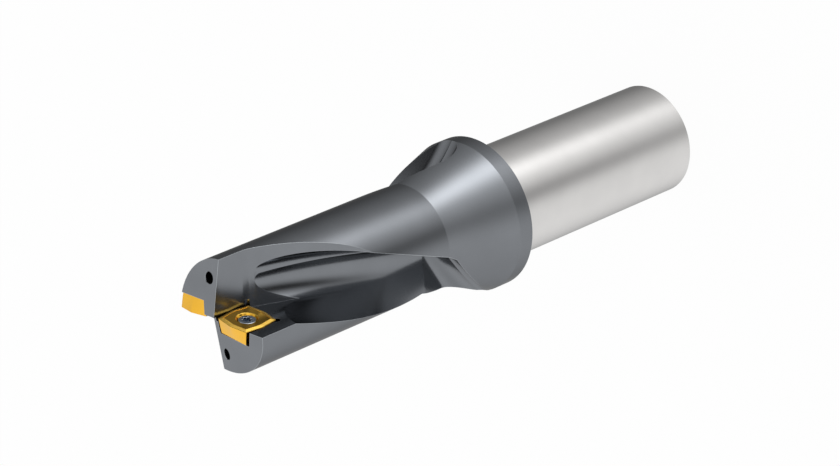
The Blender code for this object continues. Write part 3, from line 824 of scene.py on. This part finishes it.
def dressed_metal(name, base, roughness, variation, grain, edge=None, edge_radius=0.0,
                  stretch=(1.0, 1.0, 1.0), bump=0.02, rim=1.0):
    """A metal with slow shifts of tone, fine grain in its gloss and height, and lighter edges.

    The edge colour and a rounded normal show where rays inside the metal soon come out again,
    which is so at convex edges only. The lighter edge colour is a painted highlight, on the coated
    body partly also worn steel. The rim is the tint that is kept at a low angle.
    """
    material, shader, nodes = shaded(name)
    slow = nodes.spread(nodes.noise(nodes.stretched(), SLOW_SHIFT), -variation, variation)
    inputs = {0: base, "Scale": nodes.math('ADD', slow, 1.0)}
    tone = nodes.add('ShaderNodeVectorMath', inputs, operation='SCALE').outputs[0]
    fine = nodes.noise(nodes.stretched(stretch), grain, FINE_DETAIL)
    inputs = {"Strength": bump, "Distance": BUMP_HEIGHT, "Height": fine}
    relief = nodes.add('ShaderNodeBump', inputs)
    if edge_radius:
        soft = nodes.add('ShaderNodeBevel', {"Radius": edge_radius}, samples=EDGE_SAMPLES)
        flat = nodes.add('ShaderNodeNewGeometry')
        thin = nodes.add('ShaderNodeAmbientOcclusion', {"Distance": edge_radius},
                         inside=True, only_local=True, samples=EDGE_SAMPLES)
        share = nodes.spread(thin.outputs["AO"], 0.0, 1.0, *EDGE_RANGE)
        normal = nodes.blend('VECTOR', share, flat.outputs["Normal"], soft.outputs["Normal"])
        nodes.fill(relief, {"Normal": normal})
        # Painted highlight: at convex edges the base colour goes over to the lighter edge colour.
        tone = nodes.blend('RGBA', share, tone, (*edge, 1.0))
    nodes.fill(shader, {
        "Base Color": tone,
        "Metallic": 1.0,
        "Specular Tint": (rim, rim, rim, 1.0),
        "Roughness": nodes.spread(fine, *(roughness * part for part in GLOSS_RANGE)),
        "Normal": relief.outputs["Normal"],
    })
    return material


def face_vectors(item, name):
    """The centres or the normals of an object's faces."""
    values = np.empty(len(item.data.polygons) * 3, dtype=np.float32)
    item.data.polygons.foreach_get(name, values)
    return values.reshape(-1, 3)


def finish_piece(item, node, materials):
    item.data.materials.clear()
    for material in materials:
        item.data.materials.append(material)
    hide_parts(node)
    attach(item, "root")


# Operators

class MakeBody(bpy.types.Operator):
    """Build the fluted body with its bores, gullets and pockets"""
    bl_idname = "drill.make_body"
    bl_label = "Drill Body"

    def execute(self, context):
        scene = context.scene
        sizes, nose, insert = scene.drill_blank, scene.drill_nose, scene.drill_insert
        cutters = [central_bore(sizes, scene.drill_bore), clamping_flat(sizes)]
        for inner, relieved_corners in ((True, (2, 0)), (False, (2,))):
            place = seat_place(sizes, insert, inner)
            cutters += [
                front_face(sizes, nose, inner),
                gullet(sizes, nose, inner),
                helical_flute(sizes, scene.drill_flute, inner),
                coolant_channel(sizes, nose, scene.drill_flute, scene.drill_bore, inner),
                insert_pocket(insert, place, inner),
                *(pocket_relief(insert, place, corner) for corner in relieved_corners),
                screw_hole(scene.drill_screw, place),
            ]
        body = carved(blank(sizes), cutters)
        smooth(body, crease=11.0)
        finish = scene.drill_finish
        # The coating's edges are lightened towards the edge colour: partly worn steel, partly a
        # painted highlight.
        coating = dressed_metal("grey_coating", finish.coating, finish.coating_roughness,
                                variation=0.04, grain=9000.0, edge=finish.worn_edge_and_highlight,
                                edge_radius=finish.edge_radius, rim=finish.coating_rim)
        # The shank's edges are lightened to a paler grey, a painted highlight.
        ground = dressed_metal("ground_steel", finish.shank, finish.shank_roughness,
                               variation=0.03, grain=700.0, edge=(0.75, 0.75, 0.75),
                               edge_radius=finish.edge_radius, stretch=(1.0, 1.0, 16.0), bump=0.05,
                               rim=finish.shank_rim)
        finish_piece(body, "drill_body", (coating, ground))
        low = face_vectors(body, "center")[:, 2] < sizes.shank_length - SLACK
        body.data.polygons.foreach_set("material_index", low.astype(np.int32))
        return {'FINISHED'}


class MakeInserts(bpy.types.Operator):
    """Build both cutting inserts"""
    bl_idname = "drill.make_inserts"
    bl_label = "Cutting Inserts"

    def execute(self, context):
        scene = context.scene
        sizes, finish = scene.drill_insert, scene.drill_finish
        # The gold's edges are lightened to the land's colour, a painted highlight. The land
        # material has the honed land's rougher gloss and a lighter gold that is a painted
        # highlight.
        gold = dressed_metal("gold_coating", finish.gold, finish.gold_roughness, variation=0.03,
                             grain=6000.0, edge=finish.land, edge_radius=0.04 * MM)
        land = dressed_metal("gold_land", finish.land, finish.land_roughness, variation=0.03,
                             grain=6000.0)
        for inner, node in ((True, "inner_insert"), (False, "outer_insert")):
            place = seat_place(scene.drill_blank, sizes, inner)
            item = insert_surface(sizes, node + "_dressed", place)
            carved(item, [insert_hole(sizes, scene.drill_screw, place)])
            smooth(item, crease=9.0)
            finish_piece(item, node, (gold, land))
            up = face_vectors(item, "normal") @ place[:3, 2]
            x, y, z = ((face_vectors(item, "center") - place[:3, 3]) @ place[:3, :3]).T
            steepest, flattest = 0.5, 0.998
            outside = np.hypot(x, y) > sizes.ring_diameter / 2 - 5 * SLACK
            # Faces of the honed land, which get its rougher gloss and its lighter gold, a painted
            # highlight.
            rim = (up > steepest) & (up < flattest) & (z > -SLACK / 2) & outside
            item.data.polygons.foreach_set("material_index", rim.astype(np.int32))
        return {'FINISHED'}


class MakeScrews(bpy.types.Operator):
    """Build both insert screws"""
    bl_idname = "drill.make_screws"
    bl_label = "Insert Screws"

    def execute(self, context):
        scene = context.scene
        finish = scene.drill_finish
        # The screws' edges are lightened to a pale blue-grey, a painted highlight.
        steel = dressed_metal("screw_steel", finish.screw, finish.screw_roughness, variation=0.04,
                              grain=5000.0, edge=(0.8, 0.84, 0.9), edge_radius=0.05 * MM)
        for inner, node in ((True, "inner_insert_screw"), (False, "outer_insert_screw")):
            place = seat_place(scene.drill_blank, scene.drill_insert, inner)
            item = screw_surface(scene.drill_screw, node + "_dressed", place)
            carved(item, [screw_socket(scene.drill_screw, place)])
            smooth(item, crease=30.0)
            finish_piece(item, node, (steel,))
        return {'FINISHED'}


# What the darkest card leaves of the light
LEAST_LIGHT = 0.05

# Soft boxes and dark cards: compass direction in degrees, height, strength and tightness
BOXES = (
    (24.0, -0.43, -1.15, 19.9),
    (81.0, -0.33, 3.42, 23.6),
    (-75.0, -0.69, 0.54, 3.8),
    (-141.0, 0.49, 0.75, 2.5),
    (32.0, 0.28, -0.9, 30.0),
    (-175.0, -0.55, -0.12, 4.0),
    (98.0, 0.67, -1.15, 14.0),
    (-112.0, -0.12, 0.5, 10.0),
)


def studio_world(settings):
    """A pale surround.

    The camera sees it plain white. Metal sees an even light that grows along one direction, with
    soft boxes and dark cards in it, each strength times exp(tightness (d . axis - 1)) for the
    direction d.
    """
    world = bpy.data.worlds.new("studio")
    world.use_nodes = True
    nodes = Nodes(world.node_tree)
    ray = nodes.add('ShaderNodeTexCoord').outputs["Generated"]

    def along(axis):
        inputs = {0: ray, 1: axis}
        return nodes.add('ShaderNodeVectorMath', inputs, operation='DOT_PRODUCT').outputs["Value"]

    light = nodes.math('ADD', along(settings.slope), settings.ambient)
    for compass, height, strength, tightness in BOXES:
        level = math.sqrt(1.0 - height * height)
        turn = math.radians(compass)
        axis = (level * math.cos(turn), level * math.sin(turn), height)
        near = nodes.math('SUBTRACT', along(axis), 1.0)
        glow = nodes.math('EXPONENT', nodes.math('MULTIPLY', near, tightness))
        light = nodes.math('ADD', light, nodes.math('MULTIPLY', glow, strength))
    light = nodes.math('MAXIMUM', light, LEAST_LIGHT)
    camera_ray = nodes.add('ShaderNodeLightPath').outputs["Is Camera Ray"]
    inputs = {"Factor": camera_ray, "A": light, "B": 1.0}
    seen = nodes.add('ShaderNodeMix', inputs, data_type='FLOAT').outputs["Result"]
    nodes.fill(nodes.tree.nodes["Background"], {"Strength": seen, "Color": (1.0, 1.0, 1.0, 1.0)})
    return world


def studio_floor(settings):
    """A level square of points (x, y, -d), white to the camera but for a share of its shading."""
    drop, count = 0.02 * MM, 9
    even = np.linspace(-settings.floor_half_width, settings.floor_half_width, count)
    x, y = np.meshgrid(even, even, indexing='ij')
    points = np.stack((x, y, np.full_like(x, -drop)), axis=-1).reshape(-1, 3)
    index = np.arange(count * count).reshape(count, count)
    faces = np.stack((index[:-1, :-1], index[1:, :-1], index[1:, 1:], index[:-1, 1:]), axis=-1)
    mesh = bpy.data.meshes.new("floor")
    mesh.from_pydata(points, [], faces.reshape(-1, 4).tolist())
    floor = linked("floor", mesh)
    material, shader, nodes = shaded("pale_floor")
    grain, pale = 30.0, (0.88, 0.9)
    tone = nodes.spread(nodes.noise(nodes.stretched(), grain), *pale)
    nodes.fill(shader, {"Base Color": tone, "Roughness": 1.0})
    white = nodes.add('ShaderNodeEmission').outputs["Emission"]
    camera_ray = nodes.add('ShaderNodeLightPath').outputs["Is Camera Ray"]
    factor = nodes.math('MULTIPLY', camera_ray, 1.0 - settings.shadow)
    inputs = {"Fac": factor, 1: shader.outputs["BSDF"], 2: white}
    mixed = nodes.add('ShaderNodeMixShader', inputs).outputs["Shader"]
    nodes.fill(nodes.tree.nodes["Material Output"], {"Surface": mixed})
    mesh.materials.append(material)
    floor.visible_glossy = False


def studio_camera(settings):
    camera = bpy.data.cameras.new("camera")
    camera.lens = settings.lens
    camera.sensor_width = settings.sensor
    camera.clip_start = 0.01
    camera.clip_end = 20.0
    item = linked("camera", camera)
    right = unit(np.array(settings.camera_right))
    down = np.array(settings.camera_down)
    down = unit(down - right * (right @ down))
    back = np.cross(down, right)
    matrix = np.eye(4)
    matrix[:3] = np.column_stack((right, -down, back, settings.camera_place))
    item.matrix_world = matrix.T.tolist()
    return item


class MakeStage(bpy.types.Operator):
    """Set up the pale studio with its camera and soft light"""
    bl_idname = "drill.make_stage"
    bl_label = "Studio"

    def execute(self, context):
        scene = context.scene
        settings = scene.drill_stage
        scene.world = studio_world(settings)
        studio_floor(settings)
        scene.camera = studio_camera(settings)
        scene.view_settings.view_transform = 'Standard'
        return {'FINISHED'}


class DRILL_PT_panel(bpy.types.Panel):
    """Sizes, finishes and the steps that build the drill"""
    bl_label = "Indexable Drill"
    bl_space_type = 'VIEW_3D'
    bl_region_type = 'UI'
    bl_category = "Drill"

    def draw(self, context):
        layout = self.layout
        for operator in OPERATORS:
            layout.operator(operator.bl_idname)
        for name, group in SCENE_GROUPS.items():
            box = layout.box()
            box.label(text=group.__doc__)
            for field in group.__annotations__:
                box.prop(getattr(context.scene, name), field)


OPERATORS = (MakeBody, MakeInserts, MakeScrews, MakeStage)
SCENE_GROUPS = {
    "drill_blank": BlankSizes,
    "drill_nose": NoseSizes,
    "drill_flute": FluteSizes,
    "drill_insert": InsertSizes,
    "drill_screw": ScrewSizes,
    "drill_bore": BoreSizes,
    "drill_finish": Finishes,
    "drill_stage": StageSettings,
}
CLASSES = (*SCENE_GROUPS.values(), *OPERATORS, DRILL_PT_panel)


def register():
    for item in CLASSES:
        bpy.utils.register_class(item)
    for name, group in SCENE_GROUPS.items():
        setattr(bpy.types.Scene, name, bpy.props.PointerProperty(type=group))


def unregister():
    for name in SCENE_GROUPS:
        delattr(bpy.types.Scene, name)
    for item in reversed(CLASSES):
        bpy.utils.unregister_class(item)


def main():
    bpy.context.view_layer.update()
    register()
    bpy.ops.drill.make_body()
    bpy.ops.drill.make_inserts()
    bpy.ops.drill.make_screws()
    bpy.ops.drill.make_stage()


if __name__ == "__main__":
    main()
